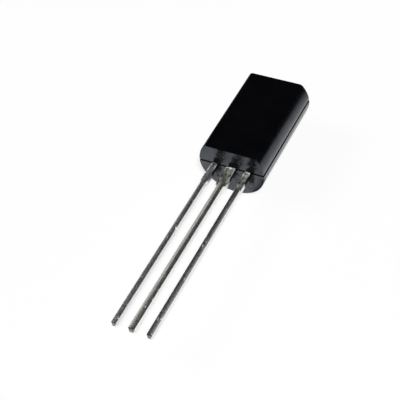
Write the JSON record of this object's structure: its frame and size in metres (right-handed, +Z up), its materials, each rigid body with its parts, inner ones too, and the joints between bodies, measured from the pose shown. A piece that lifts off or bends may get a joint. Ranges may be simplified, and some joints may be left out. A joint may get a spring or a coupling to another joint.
{
  "type": "transistor",
  "caption": "Through-hole transistor with a long black moulded D-shaped case and straight tinned leads in one row, lying on its round back.",
  "frame": {"origin": "bottom centre of the whole part's box, on the surface that the round back rests on", "axes": "+Z up, out of the flat of the case; +Y along the case, away from the leads; +X across the case, from the emitter lead to the base lead"},
  "size_m": [0.005, 0.0222, 0.0039],
  "materials": {
    "epoxy": "smooth black moulded epoxy",
    "tinned_lead": "mottled tin plating",
    "silicon": "polished silicon",
    "solder": "dull solder",
    "bond_wire": "drawn gold wire"
  },
  "bodies": {
    "root": {"epoxy_body": "epoxy", "emitter_lead": "tinned_lead", "collector_lead": "tinned_lead", "base_lead": "tinned_lead", "die": "silicon", "die_attach": "solder", "emitter_bond_wire": "bond_wire", "base_bond_wire": "bond_wire"}
  },
  "joints": []
}
